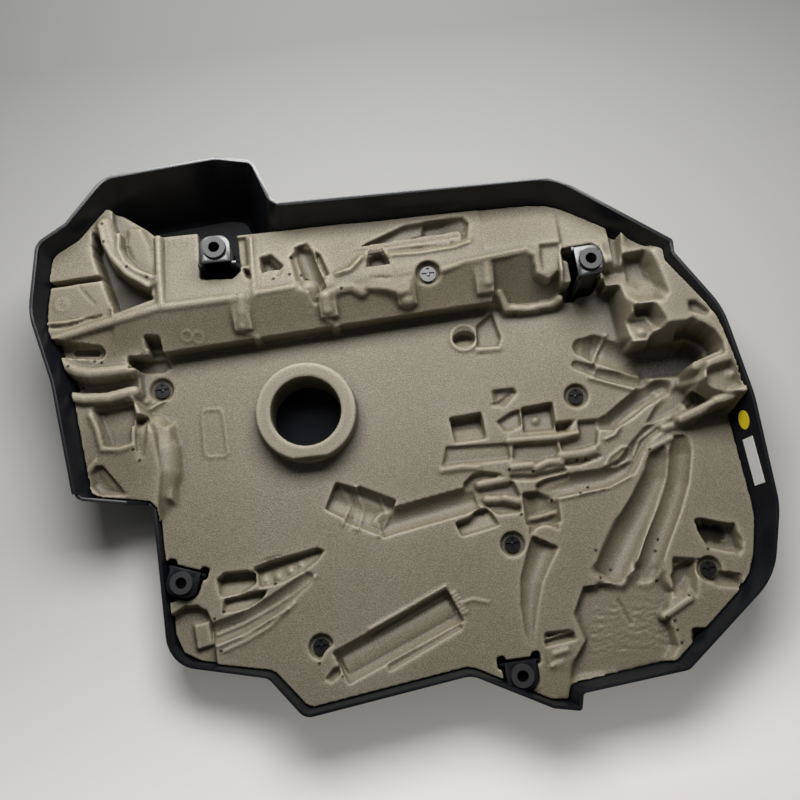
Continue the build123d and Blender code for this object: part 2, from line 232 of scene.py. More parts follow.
# distance inside an outline, and how far the nearest side faces the back
def outlineField(points):
    pts = np.array(points, float)
    turn = np.sum(pts[:, 0] * np.roll(pts[:, 1], -1) - np.roll(pts[:, 0], -1) * pts[:, 1])
    idx = nearby(points, 0.5)
    x, y = clay["x"][idx], clay["y"][idx]
    best = np.full(len(idx), farAway)
    facing = np.zeros(len(idx))
    inside = np.zeros(len(idx), bool)
    for a, b in zip(pts, np.roll(pts, -1, 0)):
        dx, dy = b - a
        length = np.hypot(dx, dy)
        share = np.clip(((x - a[0]) * dx + (y - a[1]) * dy) / length ** 2, 0, 1)
        gap = np.hypot(x - a[0] - share * dx, y - a[1] - share * dy)
        closer = gap < best
        best[closer] = gap[closer]
        facing[closer] = -np.sign(turn) * dx / length
        if dy:
            inside ^= ((a[1] > y) != (b[1] > y)) & (x < dx * (y - a[1]) / dy + a[0])
    return idx, np.where(inside, best, -best), facing


# distance from a line of points, and what the points carry beside x and y, blended along the line;
# square leaves out what lies beyond the ends
def pathField(points, reach, square=False):
    pts = np.array(points, float)
    idx = nearby(points, reach)
    x, y = clay["x"][idx], clay["y"][idx]
    best = np.full(len(idx), farAway)
    carried = np.zeros((len(idx), pts.shape[1] - 2))
    last = len(pts) - 2
    for k, (a, b) in enumerate(zip(pts, pts[1:])):
        dx, dy = b[:2] - a[:2]
        along = ((x - a[0]) * dx + (y - a[1]) * dy) / (dx * dx + dy * dy)
        share = np.clip(along, 0, 1)
        gap = np.hypot(x - a[0] - share * dx, y - a[1] - share * dy)
        if square:
            beyond = ((k == 0) & (along < 0)) | ((k == last) & (along > 1))
            gap[beyond] = farAway
        closer = gap < best
        best[closer] = gap[closer]
        carried[closer] = a[2:] + (b[2:] - a[2:]) * share[closer, None]
    return idx, best, carried.T


# every stroke ends here: points go up or down as far as they are free
def move(idx, amount):
    clay["z"][idx] += amount * clay["free"][idx] * np.where(amount > 0, clay["climb"][idx], 1)


# width of an outline's slope: steep at the back, easy at the front
def slopeWidth(facing, back, front, side):
    return side + np.where(facing > 0, (back - side) * facing, (side - front) * facing)


# sinks a pocket by a depth; deepFront gives another depth at its front
def dig(points, depth, back=2.0, front=5.0, side=3.0, deepFront=None):
    idx, inside, facing = outlineField(points)
    if deepFront is not None:
        ys = [y for x, y in points]
        share = np.clip((max(ys) - clay["y"][idx]) / (max(ys) - min(ys)), 0, 1)
        depth = depth + (deepFront - depth) * share
    move(idx, -depth * ease(inside / slopeWidth(facing, back, front, side)))


# brings a patch to a height, or to a slope that climbs toward the front; back, front and side are slope widths
def press(points, z, back=2.0, front=5.0, side=3.0, climb=0.0):
    idx, inside, facing = outlineField(points)
    aim = z + climb * (max(y for x, y in points) - clay["y"][idx])
    move(idx, (aim - clay["z"][idx]) * ease(inside / slopeWidth(facing, back, front, side)))


# brings a patch back to the plain ground
def level(points):
    press(points, mould["base"], 2, 2, 2)


# like press, but only takes away; below the ground, outer walls shrink with their top
def carve(points, z, back=2.0, front=5.0, side=3.0, climb=0.0):
    idx, inside, facing = outlineField(points)
    aim = z + climb * (max(y for x, y in points) - clay["y"][idx])
    base, low = mould["base"], mould["lowest"]
    shrink = (np.minimum(clay["z"][idx], base) - low) * (aim - base) / (base - low)
    cut = np.minimum(np.where(clay["wall"][idx] & (aim < base), shrink, aim - clay["z"][idx]), 0)
    move(idx, cut * ease(inside / slopeWidth(facing, back, front, side)))


# pocket that is deep at the back and climbs to its front edge; ahead points to the front
def scoop(points, deep, rise=0.4, top=26.0, edge=1.8, ahead=(0.0, -1.0)):
    idx, inside = outlineField(points)[:2]
    reach = [x * ahead[0] + y * ahead[1] for x, y in points]
    along = clay["x"][idx] * ahead[0] + clay["y"][idx] * ahead[1]
    share = (along - min(reach)) / (max(reach) - min(reach))
    aim = deep + (top - deep) * np.clip((share - rise) / (1 - rise), 0, 1)
    move(idx, np.minimum(aim - clay["z"][idx], 0) * ease(inside / edge))


# fine creases that run mostly across
creases = {"seed": 5, "waves": 24, "spread": 0.45, "slowest": 0.7, "fastest": 1.7, "share": 5, "edge": 6}


def wrinkle(points, height):
    idx, inside = outlineField(points)[:2]
    rng = np.random.default_rng(creases["seed"])
    wave = np.zeros(len(idx))
    for turn in range(creases["waves"]):
        angle = rng.normal(pi / 2, creases["spread"])
        pace = rng.uniform(creases["slowest"], creases["fastest"])
        phase = rng.uniform(0, 2 * pi)
        wave += np.sin(pace * (clay["x"][idx] * cos(angle) + clay["y"][idx] * sin(angle)) + phase)
    move(idx, height * wave / creases["share"] * ease(inside / creases["edge"]))


# brings a strip back to the plain ground
def refill(points, width, fade=2.0):
    idx, gap = pathField(points, width + fade)[:2]
    move(idx, (mould["base"] - clay["z"][idx]) * ease((width + fade - gap) / fade))


# round ridge: x, y, top, radius
def bead(*points):
    idx, gap, (top, radius) = pathField(points, max(p[3] for p in points))
    z = clay["z"][idx]
    crown = top - radius * (1 - np.sqrt(1 - np.clip(gap / radius, 0, 1) ** 2))
    move(idx, np.where(gap < radius, np.maximum(crown - z, 0), 0))


# round-floored run: x, y, floor, radius
def trench(*points, square=False):
    idx, gap, (floor, radius) = pathField(points, max(p[3] for p in points), square)
    z = clay["z"][idx]
    bed = floor + radius * (1 - np.sqrt(1 - np.clip(gap / radius, 0, 1) ** 2))
    move(idx, np.where(gap < radius, np.minimum(bed - z, 0), 0))


# soft bell: one in the middle, nothing from the width on
def swell(gap, width):
    return 0.5 + 0.5 * np.cos(pi * np.minimum(gap / width, 1))


def groove(points, width, depth):
    idx, gap = pathField(points, width)[:2]
    move(idx, -depth * swell(gap, width))


def ridge(points, width, height):
    groove(points, width, -height)


def mound(x, y, radius, height):
    groove([(x, y), (x + 0.01, y)], radius, -height)


def ringMark(x, y, radius, width, height):
    idx = nearby([(x, y)], radius + width)
    gap = np.abs(np.hypot(clay["x"][idx] - x, clay["y"][idx] - y) - radius)
    move(idx, height * swell(gap, width))


# mean of the points that share an edge with each point
def neighbourMean(values, weights):
    a, b = clay["edges"].T
    count = len(values)
    heavy = values * weights
    total = np.bincount(a, heavy[b], count) + np.bincount(b, heavy[a], count)
    share = np.bincount(a, weights[b], count) + np.bincount(b, weights[a], count)
    return np.where(share > 0, total / np.maximum(share, 1e-9), values)


# softens the upward faces of a patch
def relax(points, rounds, edge=6.0, strength=0.6):
    idx, inside = outlineField(points)[:2]
    share = np.zeros(len(clay["z"]))
    share[idx] = ease(inside / edge) * clay["free"][idx] * strength * clay["upward"][idx]
    for turn in range(rounds):
        clay["z"] += (neighbourMean(clay["z"], clay["upward"]) - clay["z"]) * share


# painted dark spots: black pinholes, painted shade in place of holes too small to shape, and wide darker patches at
# less strength, some of them painted shade in hollows
def pits(*places, radius=1.2, strength=1.0):
    clay["pits"] += [(x, y, radius, strength) for x, y in places]


# row and column of each point in a grid of small squares, and the size of the grid
def gridPlace(margin=0):
    col = ((clay["x"] - clay["x"].min()) / mould["cell"]).astype(int) + margin
    row = ((clay["y"] - clay["y"].min()) / mould["cell"]).astype(int) + margin
    return row, col, (row.max() + margin + 1, col.max() + margin + 1)


# highest point of each square and its neighbours, and whether one of them is empty
def topGrid(picked, rounds):
    row, col, shape = gridPlace(margin=3)
    tops = np.zeros(shape)
    np.maximum.at(tops, (row[picked], col[picked]), clay["z"][picked])
    empty = tops == 0
    shifts = [(dr, dc) for dr in (-1, 0, 1) for dc in (-1, 0, 1)]
    for turn in range(rounds):
        tops = np.max([np.roll(tops, shift, (0, 1)) for shift in shifts], 0)
        empty = np.any([np.roll(empty, shift, (0, 1)) for shift in shifts], 0)
    return tops[row, col], empty[row, col]


def readMesh(mesh):
    count = len(mesh.vertices)
    co = np.empty(count * 3)
    mesh.vertices.foreach_get("co", co)
    co = co.reshape(-1, 3)
    normals = np.empty(count * 3)
    mesh.vertices.foreach_get("normal", normals)
    edges = np.empty(len(mesh.edges) * 2, int)
    mesh.edges.foreach_get("vertices", edges)
    clay["x"] = co[:, 0] * 1000 - mould["zero"][0]
    clay["y"] = co[:, 1] * 1000 - mould["zero"][1]
    clay["z"] = co[:, 2] * 1000
    clay["start"] = clay["z"].copy()
    clay["normals"] = normals.reshape(-1, 3)
    clay["edges"] = edges.reshape(-1, 2)
    facing = clay["normals"][:, 2]
    clay["upward"] = (facing > mould["upward"]).astype(float)
    # the underside stays, the top keeps above it, and outer walls stretch with their top
    low, upright = mould["lowest"], mould["upright"]
    clay["free"] = np.clip((clay["z"] - low) / mould["looseBy"], 0, 1) * (facing > -upright)
    clay["under"] = topGrid(facing < mould["downward"], 1)[0] + mould["skin"]
    top, edge = topGrid(np.ones(count, bool), 2)
    clay["wall"] = edge & (np.abs(facing) < upright)
    stretch = np.clip((clay["z"] - low) / np.maximum(top - low, 1), 0, 1) ** 2
    clay["climb"] = np.where(edge & (facing < upright), stretch, facing > mould["leaning"])
    for turn in range(6):
        for name in ("climb", "under"):
            clay[name] = neighbourMean(clay[name], np.ones(count))


def writeMesh(mesh):
    floor = np.maximum(np.minimum(clay["under"], clay["start"]), mould["lowest"])
    z = np.where(clay["free"] > 0, np.maximum(clay["z"], floor), clay["z"])
    co = np.stack([clay["x"] + mould["zero"][0], clay["y"] + mould["zero"][1], z], 1) / 1000
    mesh.vertices.foreach_set("co", co.ravel())
    mesh.update()


# height of the upper surface averaged over a wide patch, read back at every point
def wideMean(reach):
    row, col, shape = gridPlace()
    seen = clay["upward"] > 0
    total, weight = np.zeros(shape), np.zeros(shape)
    np.add.at(total, (row[seen], col[seen]), clay["z"][seen])
    np.add.at(weight, (row[seen], col[seen]), 1)
    steps = int(reach / mould["cell"] / 2)
    for turn in range(3):
        for axis in (0, 1):
            total = sum(np.roll(total, k, axis) for k in range(-steps, steps + 1))
            weight = sum(np.roll(weight, k, axis) for k in range(-steps, steps + 1))
    return (total / np.maximum(weight, 1e-6))[row, col]


# paler on sharp edges and crests, partly rubbed wear and partly painted highlight; painted highlight on slopes that
# face the back, toward the lamp; painted shade darker in creases and hollows; black in pinholes, painted in place of
# their shade
wearAndPaintedLight = {
    "bendGain": 1.3,
    "darkest": -0.22,
    "palest": 0.40,
    "reach": 12.0,
    "crestHighlight": 0.16,
    "crestHeight": 12.0,
    "slopeHighlight": 0.14,
    "slopeLean": 0.7,
    "hollowFrom": 1.0,
    "hollowDepth": 16.0,
    "pitFade": 1.5,
}


def halfBlur(values, rounds):
    for turn in range(rounds):
        values = 0.5 * values + 0.5 * neighbourMean(values, np.ones(len(values)))
    return values


def markFoam(mesh):
    readMesh(mesh)
    count = len(mesh.vertices)
    even = np.ones(count)
    bend = np.zeros(count)
    for axis, values in enumerate((clay["x"], clay["y"], clay["z"])):
        smooth = neighbourMean(neighbourMean(values, even), even)
        bend += (smooth - values) * clay["normals"][:, axis]
    # rubbed wear and painted light: convex edges paler, and concave creases darker as painted shade
    rubAndPaintedLight = halfBlur(np.clip(-bend * wearAndPaintedLight["bendGain"], wearAndPaintedLight["darkest"], wearAndPaintedLight["palest"]), 2)
    depth = wideMean(wearAndPaintedLight["reach"]) - clay["z"]
    # painted highlight on crests that stand above their surroundings
    rubAndPaintedLight += wearAndPaintedLight["crestHighlight"] * np.clip(-depth / wearAndPaintedLight["crestHeight"], 0, 1)
    lean = clay["normals"][:, 1]
    # painted highlight on slopes that face the back, toward the lamp
    rubAndPaintedLight += wearAndPaintedLight["slopeHighlight"] * np.clip(lean / wearAndPaintedLight["slopeLean"], 0, 1)
    # painted shade: darker the deeper a point lies below its surroundings, but not on slopes that face the lamp
    hollow = np.clip((depth - wearAndPaintedLight["hollowFrom"]) / wearAndPaintedLight["hollowDepth"], 0, 1)
    hollow = halfBlur(hollow * np.clip(1 - 2 * lean, 0, 1), 3)
    # painted shade: pinholes and the wide darker patches turn dark
    pit = np.zeros(count)
    for x, y, radius, strength in clay["pits"]:
        idx = nearby([(x, y)], wearAndPaintedLight["pitFade"] * radius)
        gap = np.hypot(clay["x"][idx] - x, clay["y"][idx] - y)
        pit[idx] = np.maximum(pit[idx], strength * ease(wearAndPaintedLight["pitFade"] - gap / radius))
    for name, values in (("rubAndPaintedLight", rubAndPaintedLight), ("pit", pit), ("hollow", hollow)):
        mark = mesh.attributes.new(name, "FLOAT", "POINT")
        mark.data.foreach_set("value", values.astype(np.float32))


# imprints of the centre group, behind and in front of the right-hand clip
def shapeCentre():
    level([(50, 72), (106, 78), (106, 33), (50, 41)])
    level([
        (30, -12), (80, -10), (112, 5), (140, -10), (152, -28), (184, -30), (184, -64), (176, -74), (140, -78),
        (128, -90), (98, -92), (98, -108), (80, -114), (76, -126), (30, -132),
    ])
    # wedge, square pocket and the stepped pockets beside them
    press([(79, -12), (105, 4), (109, -3), (95, -16)], 19, 3, 9, 2)
    scoop([(43, -18), (73, -16), (75, -42), (45, -43)], 11, 0.4)
    press([(36, -44), (94, -47), (95, -64), (65, -64), (30, -63)], 23, 2, 4, 3)
    press([(97, -48), (138, -51), (140, -65), (128, -69), (114, -70), (94, -64)], 22, 2, 4, 3)
    press([(84, -27), (99, -19), (109, -17), (108, -35), (97, -39), (91, -38)], 20, 2, 6, 2, 0.1)
    press([(109, -16), (139, -14), (139, -42), (108, -41)], 13, 1.5, 5, 2, 0.12)
    mound(122, -28, 5, 4)
    bead((94, -46, 30.5, 3.5), (137, -47.5, 30.5, 3.5), (158, -46, 30, 3))
    press([(138, -33), (158, -33), (149, -44), (138, -44)], 13, 2, 5, 2)
    press([(158, -34), (177, -34), (179, -58), (174, -63), (140, -61), (139, -51), (158, -47)], 20, 2, 3, 2)
    bead((140, -65, 30.5, 5), (160, -65, 30.5, 5), (178, -61, 30, 4.5))
    groove([(140, -72), (156, -73), (180, -69)], 3.5, 6)
    bead((31, -66, 29, 3.5), (50, -65, 29.5, 4), (63, -67, 29, 3.5))
    bead((94, -70, 30, 4), (111, -70, 30, 4))
    bead((115, -73, 30, 4), (127, -69, 30, 4), (138, -70, 30, 4))
    groove([(92, -79), (112, -81), (140, -78)], 3.5, 6)
    press([
        (48, -79), (57, -72), (66, -70), (82, -74), (94, -82), (99, -98), (97, -112), (76, -112),
        (62, -102), (48, -102),
    ], 19, 2, 4, 2)
    bead((63, -82, 27, 4), (88, -80, 27, 4))
    bead((84, -97, 28, 4), (95, -101, 28, 4))
    bead((68, -96, 26, 4), (79, -97, 26, 4))
    scoop([(33, -106), (68, -103), (77, -121), (41, -127)], 14, 0.3, ahead=(0.41, -0.91))
    # ribbed run toward the front
    trench((112, -100, 20, 8), (115, -112, 17, 13), (114, -141, 16, 14), square=True)
    bead((99, -118, 22, 2.5), (114, -116, 17.5, 2.5), (128, -114, 22, 2.5))
    bead((100, -130, 23, 2.5), (113, -129, 18.5, 2.5), (126, -128, 23, 2.5))
    bead((99, -137, 24, 2.5), (112, -137, 19, 2.5), (125, -137, 24, 2.5))
    press([
        (111, -88), (122, -83), (152, -79), (158, -84), (161, -95), (152, -101), (127, -104), (114, -97),
    ], 20, 2.5, 4, 3)
    bead((135, -93, 24, 4), (154, -91, 24, 4))
    # round hollow with a lip, and the wedge beside it
    scoop([(66 + 11 * cos(k * pi / 6), 54 + 8 * sin(k * pi / 6)) for k in range(12)], 12, 0.35)
    ringMark(66, 55, 12, 2.5, 1.6)
    press([(78, 66), (95, 78), (101, 51), (97, 42), (76, 43)], 22, 3, 4, 2)
    bead((78, 42, 28.5, 3), (97, 41, 28.5, 3))
    pits((153, -70), (161, -70), (91, -72), (112, -76), (126, -103), (160, -95), (151, -100), (96, -113))


# hose runs toward the right-hand wall
def shapeHoses():
    for points, width in (
        ([(165, 35), (192, 31), (205, 20)], 13),
        ([(160, 16), (181, 13)], 8),
        ([(236, -12), (209, -21), (186, -42), (181, -62)], 8),
        ([(248, -38), (224, -46), (190, -79), (156, -88)], 12),
        ([(228, -62), (205, -112), (166, -176)], 15),
        ([(258, -50), (247, -78), (234, -115), (199, -172)], 13),
        ([(115, -138), (107, -155), (86, -222)], 13),
        ([(190, -64), (190, -80)], 12),
    ):
        refill(points, width)
    # short hoses into the right-hand block
    trench((173, 34, 20, 9), (182, 32, 15, 13), (187, 30, 15, 13.5))
    trench((189, 29, 17, 12.5), (203, 22, 16, 13), (222, 14, 14, 14), (264, 12, 13, 14))
    ridge([(181, 18), (188, 30), (196, 42)], 3, 3.5)
    trench((165, 18, 23, 4), (178, 12, 21, 5))
    trench((184, 7, 22, 5), (202, 1, 20, 6), (224, -5, 18, 6))
    ridge([(176, 4), (193, -3), (217, -13), (236, -9)], 3, 3)
    press([(219, 17), (255, 18), (264, 26), (280, 17), (278, 0), (257, -5), (222, -4)], 14, 4, 6, 4)
    trench((177, -40, 21, 5), (190, -38, 15, 8), (205, -29, 13, 9), (219, -20, 13, 9), (240, -12, 15, 8))
    ridge([(181, -54), (190, -51), (199, -39), (215, -29), (232, -21), (244, -14)], 3, 3)
    press([(244, -16), (254, -12), (264, -17), (262, -27), (253, -36), (228, -46), (218, -44), (231, -28)], 22, 3, 4, 3)
    trench(
        (120, -94, 20, 8), (150, -90, 18, 9), (176, -89, 18, 9), (196, -81, 18, 9), (208, -66, 20, 8),
        (221, -53, 21, 7), (244, -43, 23, 5),
    )
    ridge([(184, -80), (203, -75), (212, -58), (230, -47), (254, -37), (264, -28), (264, -20)], 2.4, 2.4)
    ridge([(124, -103), (152, -101), (175, -98), (197, -90), (211, -72), (223, -58), (238, -50)], 2.6, 2.4)
    ridge([(177, -78), (183, -70), (195, -63), (203, -64), (201, -73), (189, -81), (177, -78)], 2, 2)
    # two broad hoses that end at the recess
    trench(
        (229, -66, 23, 6), (227, -76, 18, 10), (222, -92, 15, 11), (207, -116, 13, 13), (190, -138, 12, 14.5),
        (164, -177, 14, 15), square=True,
    )
    trench(
        (249, -58, 23, 7), (247, -72, 18, 10), (240, -98, 16, 10), (227, -125, 15, 10), (211, -153, 15, 10),
        (197, -182, 16, 10), square=True,
    )
    relax([(150, -182), (160, -150), (205, -80), (250, -58), (262, -62), (230, -140), (206, -186)], 8, 4)
    bead((219, -68, 29, 3), (240, -60, 29, 3))
    bead((236, -50, 30, 4), (250, -48, 31, 4), (262, -45, 33, 4))
    mound(236, -16, 4, 3)
    # hose that fades out toward the front
    trench(
        (114, -139, 16, 13), (106, -153, 17, 11.5), (97, -171, 19, 10), (92, -192, 21, 8), (89, -217, 24.5, 5),
        (90, -228, 26.5, 3), square=True,
    )
    pits((219, -68), (216, -148), (212, -158), (170, -170), (157, -152), (158, -176))


# imprints along the front edge
def shapeFront():
    refill([(-70, -78), (-22, -104)], 20)
    refill([(-24, -110), (12, -106), (44, -98)], 13)
    refill([(-74, -226), (26, -186)], 20)
    refill([(-188, -186), (-150, -176), (-104, -150)], 16)
    level([(-84, -206), (-50, -190), (24, -162), (42, -203), (-38, -236), (-76, -250)])
    level([(-180, -134), (-140, -128), (-82, -116), (-76, -122), (-90, -142), (-130, -158), (-176, -174)])
    # wide socket with its rings, and the tube it leads to
    trench((-71, -77, 12, 13), (-52, -87, 11, 15), square=True)
    trench((-53, -86.5, 11, 17.5), (-21, -103, 11, 17.5), square=True)
    ridge([(-62, -68), (-55, -86), (-63, -104)], 2, 1.6)
    ridge([(-48, -72), (-43, -91), (-50, -110)], 2, 1.8)
    groove([(-55, -70), (-50, -88), (-57, -107)], 1.8, 1.8)
    ridge([(-27, -84), (-22, -100), (-32, -118)], 2, 2)
    trench((-30, -108, 14, 11.5), (-19, -106, 14, 11.5), (43, -96, 15, 11.5), (58, -93, 16, 11), square=True)
    # slanting box with a toothed end
    trench((-77, -227, 14, 16), (28, -185, 13, 16), square=True)
    groove([(-48, -203), (20, -173)], 2.4, 2.8)
    ridge([(-49, -197), (21, -168)], 2.2, 2.0)
    press([(-38, -228), (30, -200), (33, -206), (-36, -236)], 24, 1.5, 3, 2)
    for step in range(7):
        x, y = 24 + step * 1.4, -176 - step * 2.9
        ridge([(x, y), (x + 5, y + 1.9)], 1.2, 2.0)
    ridge([(34, -184), (44, -182), (57, -186)], 1.8, 1.4)
    press([(-92, -235), (-84, -226), (-76, -224), (-77, -233), (-86, -239)], 20, 2, 4, 2)
    level([(98, -222), (129, -217), (132, -226), (126, -250), (101, -252)])
    press([(100, -223), (128, -218), (129, -227), (101, -230)], 17, 2, 4, 2)
    bead((108, -236, 29, 3), (119, -234, 29, 3))
    bead((104, -246, 29, 2.5), (114, -244, 29, 2.5))
    # pockets and rails in the left corner
    scoop([(-178, -139), (-171, -134), (-151, -134), (-143, -137), (-143, -147), (-158, -156), (-176, -156)], 10, 0.3)
    scoop([(-173, -157), (-158, -155), (-146, -153), (-133, -153), (-139, -161), (-154, -169), (-176, -170)], 14, 0.2)
    scoop([
        (-146, -133), (-131, -128), (-104, -124), (-87, -121), (-80, -125), (-88, -134), (-101, -143), (-121, -150),
        (-141, -152), (-143, -140),
    ], 12, 0.25, 26, 3, (0.35, -0.94))
    for x, y, radius, height in ((-136, -143, 9, 5), (-124, -142, 7, 5), (-113, -138, 6, 4), (-103, -134, 5, 3)):
        mound(x, y, radius, height)
    trench((-184, -186, 19, 10), (-159, -180, 19, 10), (-132, -168, 20, 9), (-98, -147, 23, 6))
    ridge([(-182, -187), (-160, -181), (-133, -170), (-113, -160), (-92, -147)], 2.2, 2)
    ridge([(-182, -197), (-161, -190), (-136, -180), (-118, -172)], 2.2, 2)
    ridge([(-178, -202), (-156, -195), (-136, -186), (-112, -168)], 2, 1.6)
    press([
        (-222, -166), (-207, -158), (-188, -164), (-183, -178), (-182, -224), (-205, -222), (-232, -196),
    ], 16, 4, 4, 3)
    press([(-203, -175), (-187, -173), (-185, -196), (-201, -199)], 21, 2, 2, 2)
    # recess with a creased floor
    carve([
        (156, -178), (186, -187), (199, -187), (212, -182), (222, -196), (208, -215), (215, -226), (217, -243),
        (200, -264), (116, -264), (121, -246), (136, -227), (132, -212), (143, -190),
    ], 18, 4, 8, 5)
    wrinkle([(150, -184), (210, -186), (216, -200), (212, -245), (198, -258), (130, -258), (140, -225)], 0.3)
    press([(190, -166), (215, -171), (207, -181), (200, -187), (188, -184)], 16, 3, 3, 2)
    relax([(138, -168), (160, -160), (206, -160), (222, -172), (216, -200), (190, -202), (140, -200)], 8, 4)
    groove([(172, -197), (176, -207), (180, -218)], 2.5, 2)
    bead((208, -215, 30, 4), (220, -209, 30, 4), (232, -203, 30, 4))
    # pockets round the right-hand clip; the deepest is pressed again and again
    press([(218, -182), (225, -173), (237, -168), (244, -172), (241, -186), (232, -200), (221, -194)], 12, 3, 10, 6)
    for turn in range(3):
        press([(248, -133), (261, -140), (284, -142), (287, -168), (274, -167), (256, -161), (250, -146)], 11, 2, 7, 3)
    press([(246, -189), (262, -184), (272, -183), (281, -190), (281, -200), (262, -196)], 18, 3, 6, 3)
    press([(228, -240), (233, -229), (243, -231), (243, -242)], 17, 2, 5, 2)
    pits(
        (232, -200), (216, -220), (209, -216), (217, -228), (219, -239), (-174, -168), (-182, -173), (-178, -201),
        (-127, -149), (-95, -221), (-76, -234), (208, -184), (246, -170), (256, -162),
    )
    # painted shade: the deepest pocket darkened further
    pits((260, -147), (270, -149), radius=7, strength=1.2)


# left block, lobes and hump
def shapeLeft():
    relax([(-310, 190), (-190, 205), (-190, 60), (-310, -70), (-210, -70)], 4)
    # curved rail with a trough on either side
    press([
        (-262, 184), (-254, 178), (-246, 157), (-233, 136), (-211, 118), (-208, 110), (-246, 99), (-254, 127),
        (-262, 158),
    ], 40, 3, 12, 4)
    press([(-231, 186), (-236, 167), (-229, 147), (-215, 136), (-206, 135), (-206, 164), (-215, 186)], 59, 5, 9, 7)
    bead((-249, 186, 71, 8), (-244, 166, 72, 8), (-237, 150, 72, 8), (-226, 137, 71, 7), (-211, 128, 69, 6))
    bead((-252, 184, 72, 3), (-249, 168, 73.5, 3), (-242, 152, 73.5, 3), (-230, 136, 72.5, 3), (-213, 124, 70.5, 3))
    bead(
        (-236, 174, 72, 2.6), (-237, 160, 72.5, 2.6), (-232, 146, 72.5, 2.6), (-221, 137, 72, 2.6),
        (-209, 131, 70.5, 2.6),
    )
    bead((-203, 172, 61, 3.5), (-203, 139, 66, 3.5), (-202, 103, 70, 4))
    ringMark(-293, 117, 5.5, 1.6, 0.9)
    ringMark(-293, 117, 2.2, 1.4, 0.8)
    groove([(-276, 132), (-263, 115)], 1.3, 1.5)
    groove([(-303, 97), (-289, 96), (-280, 98), (-270, 101), (-259, 102)], 2.4, 7)
    bead((-300, 85, 65, 4), (-259, 93, 66.5, 4.5), (-207, 102, 69.5, 5), (-140, 104, 69, 5))
    # lobes at the wall
    trench((-306, 78, 44, 6.5), (-286, 75, 43, 6.5), (-264, 71, 45, 6))
    trench((-294, 47, 35, 8), (-274, 41, 33, 8), (-236, 42, 33, 8))
    bead((-296, 63, 58, 5), (-283, 55, 58, 6), (-272, 52, 58, 5.5), (-256, 52, 57, 5.5), (-237, 53, 55, 5))
    bead((-298, 35, 55, 5), (-279, 30, 55, 5.5), (-258, 29, 54, 5.5), (-236, 33, 52, 5.5))
    press([(-274, 21), (-237, 24), (-235, 13), (-240, -14), (-263, -16), (-270, 7)], 34, 2, 6, 3)
    bead((-275, 15, 50, 3), (-270, 1, 49, 3), (-267, -16, 48, 3), (-253, -18, 47, 3), (-238, -15, 46, 3))
    press([(-239, 12), (-226, 12), (-223, 4), (-238, 2)], 26, 1.5, 3, 2)
    press([(-237, 1), (-238, -15), (-236, -27), (-230, -26), (-226, 0)], 35, 2, 3, 2)
    bead((-239, 1, 45, 2.2), (-240, -15, 45, 2.2), (-236, -29, 44, 2.2), (-229, -27, 43, 2.2), (-225, 0, 43, 2.2))
    press([(-274, -29), (-267, -37), (-260, -48), (-244, -59), (-272, -58), (-280, -46)], 36, 6, 6, 6)
    bead((-274, -26, 46, 3), (-283, -36, 46, 3.5), (-283, -48, 46, 3.5), (-273, -59, 44, 3))
    # hump
    bead((-222, 2, 36, 12), (-216, -20, 40, 15), (-217, -40, 41, 16), (-222, -58, 38, 14), (-227, -74, 33, 9))
    bead((-231, -4, 42, 9), (-232, -30, 43, 10), (-233, -60, 41, 9))
    relax([(-240, 12), (-198, 12), (-196, -90), (-240, -90)], 8, 4)
    pits((-262, -22), radius=34, strength=0.12)
    press([(-222, 82), (-208, 80), (-207, 69), (-222, 70)], 33, 2, 3, 2)
    press([(-239, 65), (-207, 66), (-203, 55), (-221, 52), (-238, 53)], 22, 2, 5, 3)
    ridge([(-237, 27), (-228, 19), (-212, 27)], 2.6, 3)
    mound(-229, 27, 5, 4)
    # bare frame
    ridge([
        (-178, 14), (-164, 13), (-161, 9), (-159, -28), (-163, -31), (-177, -30), (-180, -26), (-180, 10), (-178, 14),
    ], 1.5, 1.0)
    ringMark(-184, 77, 4.5, 1.4, 0.9)
    ringMark(-174, 75, 4.5, 1.4, 0.9)
    # painted shade in the deep trough inside the curved rail
    pits((-241, 124), (-236, 114), radius=11, strength=0.3)
    pits(
        (-240, -19), (-235, -29), (-290, 60), (-268, 64), (-262, 62), (-237, 54), (-284, 45), (-250, 186),
        (-249, 168), (-230, 142), (-213, 131),
    )


